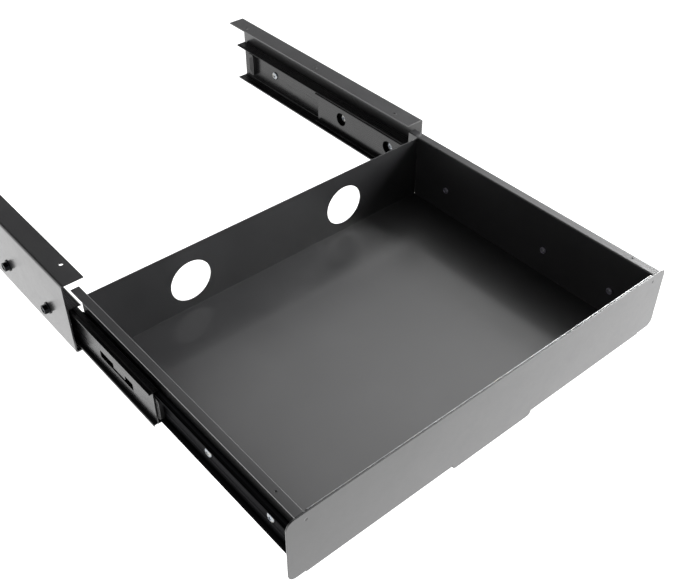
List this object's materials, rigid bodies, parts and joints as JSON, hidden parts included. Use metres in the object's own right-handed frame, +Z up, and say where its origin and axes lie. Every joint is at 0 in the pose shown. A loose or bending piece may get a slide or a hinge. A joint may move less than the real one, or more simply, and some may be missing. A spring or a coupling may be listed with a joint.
{
  "type": "under desk drawer",
  "caption": "Shallow folded steel drawer under a desk, with a flat front panel, round cable holes in its back wall, telescopic ball slides and channel brackets.",
  "frame": {"origin": "centre of the plane where the two bracket flanges meet the underside of the desk", "axes": "+Z up into the desk, -Y out of the front of the drawer, +X to the right seen from the front; the drawer stands open at rest"},
  "size_m": [0.5234, 0.7578, 0.1],
  "materials": {
    "black_paint": "black powder-coated sheet steel, satin",
    "black_rail": "black electro-coated roll-formed steel, satin",
    "zinc": "bright zinc-plated steel",
    "black_zinc": "black zinc-plated steel",
    "ball_steel": "hardened steel balls in a pressed cage",
    "black_plastic": "moulded black nylon"
  },
  "bodies": {
    "root": {"left_bracket": "black_paint", "left_cabinet_rail": "black_rail", "left_rear_buffer": "black_plastic", "left_cabinet_rail_bolt_1": "zinc", "left_flange_nut_1": "black_zinc", "left_cabinet_rail_bolt_2": "zinc", "left_flange_nut_2": "black_zinc", "left_cabinet_rail_bolt_3": "zinc", "left_flange_nut_3": "black_zinc", "right_bracket": "black_paint", "right_cabinet_rail": "black_rail", "right_rear_buffer": "black_plastic", "right_cabinet_rail_bolt_1": "zinc", "right_flange_nut_1": "black_zinc", "right_cabinet_rail_bolt_2": "zinc", "right_flange_nut_2": "black_zinc", "right_cabinet_rail_bolt_3": "zinc", "right_flange_nut_3": "black_zinc"},
    "drawer": {"tray": "black_paint", "front_panel": "black_paint", "left_drawer_rail": "black_rail", "left_drawer_rail_screw_1": "zinc", "left_clinch_nut_1": "black_zinc", "left_drawer_rail_screw_2": "zinc", "left_clinch_nut_2": "black_zinc", "left_drawer_rail_screw_3": "zinc", "left_clinch_nut_3": "black_zinc", "right_drawer_rail": "black_rail", "right_drawer_rail_screw_1": "zinc", "right_clinch_nut_1": "black_zinc", "right_drawer_rail_screw_2": "zinc", "right_clinch_nut_2": "black_zinc", "right_drawer_rail_screw_3": "zinc", "right_clinch_nut_3": "black_zinc"},
    "left_middle_slide": {"left_middle_rail": "black_rail", "left_front_buffer": "black_plastic"},
    "left_inner_balls": {"left_inner_ball_cage_upper": "ball_steel", "left_inner_ball_cage_lower": "ball_steel"},
    "left_outer_balls": {"left_outer_ball_cage_upper": "ball_steel", "left_outer_ball_cage_lower": "ball_steel"},
    "right_middle_slide": {"right_middle_rail": "black_rail", "right_front_buffer": "black_plastic"},
    "right_inner_balls": {"right_inner_ball_cage_upper": "ball_steel", "right_inner_ball_cage_lower": "ball_steel"},
    "right_outer_balls": {"right_outer_ball_cage_upper": "ball_steel", "right_outer_ball_cage_lower": "ball_steel"}
  },
  "joints": [
    {"name": "drawer_slide", "type": "slide", "parent": "root", "child": "drawer", "axis": [0, 1, 0], "range_m": [0, 0.3678]},
    {"name": "left_middle_rail_slide", "type": "slide", "parent": "root", "child": "left_middle_slide", "axis": [0, 1, 0], "range_m": [0, 0.1545]},
    {"name": "left_outer_ball_roll", "type": "slide", "parent": "root", "child": "left_outer_balls", "axis": [0, 1, 0], "range_m": [0, 0.0773]},
    {"name": "left_inner_ball_roll", "type": "slide", "parent": "root", "child": "left_inner_balls", "axis": [0, 1, 0], "range_m": [0, 0.2612]},
    {"name": "right_middle_rail_slide", "type": "slide", "parent": "root", "child": "right_middle_slide", "axis": [0, 1, 0], "range_m": [0, 0.1545]},
    {"name": "right_outer_ball_roll", "type": "slide", "parent": "root", "child": "right_outer_balls", "axis": [0, 1, 0], "range_m": [0, 0.0773]},
    {"name": "right_inner_ball_roll", "type": "slide", "parent": "root", "child": "right_inner_balls", "axis": [0, 1, 0], "range_m": [0, 0.2612]}
  ],
  "couplings": [
    {"joint": "left_middle_rail_slide", "follows": "drawer_slide", "ratio": 0.42},
    {"joint": "left_outer_ball_roll", "follows": "drawer_slide", "ratio": 0.21},
    {"joint": "left_inner_ball_roll", "follows": "drawer_slide", "ratio": 0.71},
    {"joint": "right_middle_rail_slide", "follows": "drawer_slide", "ratio": 0.42},
    {"joint": "right_outer_ball_roll", "follows": "drawer_slide", "ratio": 0.21},
    {"joint": "right_inner_ball_roll", "follows": "drawer_slide", "ratio": 0.71}
  ]
}
